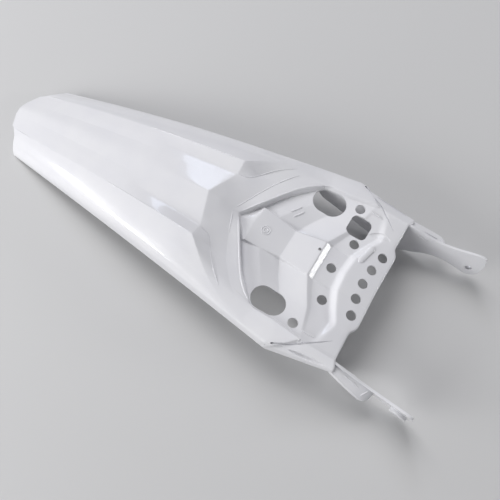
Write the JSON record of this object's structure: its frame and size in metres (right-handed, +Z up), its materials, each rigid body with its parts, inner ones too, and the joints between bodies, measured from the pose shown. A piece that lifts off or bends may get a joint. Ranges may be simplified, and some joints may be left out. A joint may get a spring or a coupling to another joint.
{
  "type": "motorcycle rear fender",
  "caption": "Thin white moulded rear fender with a creased tail, a sunken bolt panel with oval and square openings, and two fixing arms.",
  "frame": {"origin": "middle of the box around the part, on the ground plane it rests on", "axes": "+X toward the two fixing arms, +Y to the part's left, +Z up"},
  "size_m": [0.6512, 0.238, 0.0758],
  "materials": {
    "white_plastic": "glossy white"
  },
  "bodies": {
    "root": {"rear_fender": "white_plastic"}
  },
  "joints": []
}
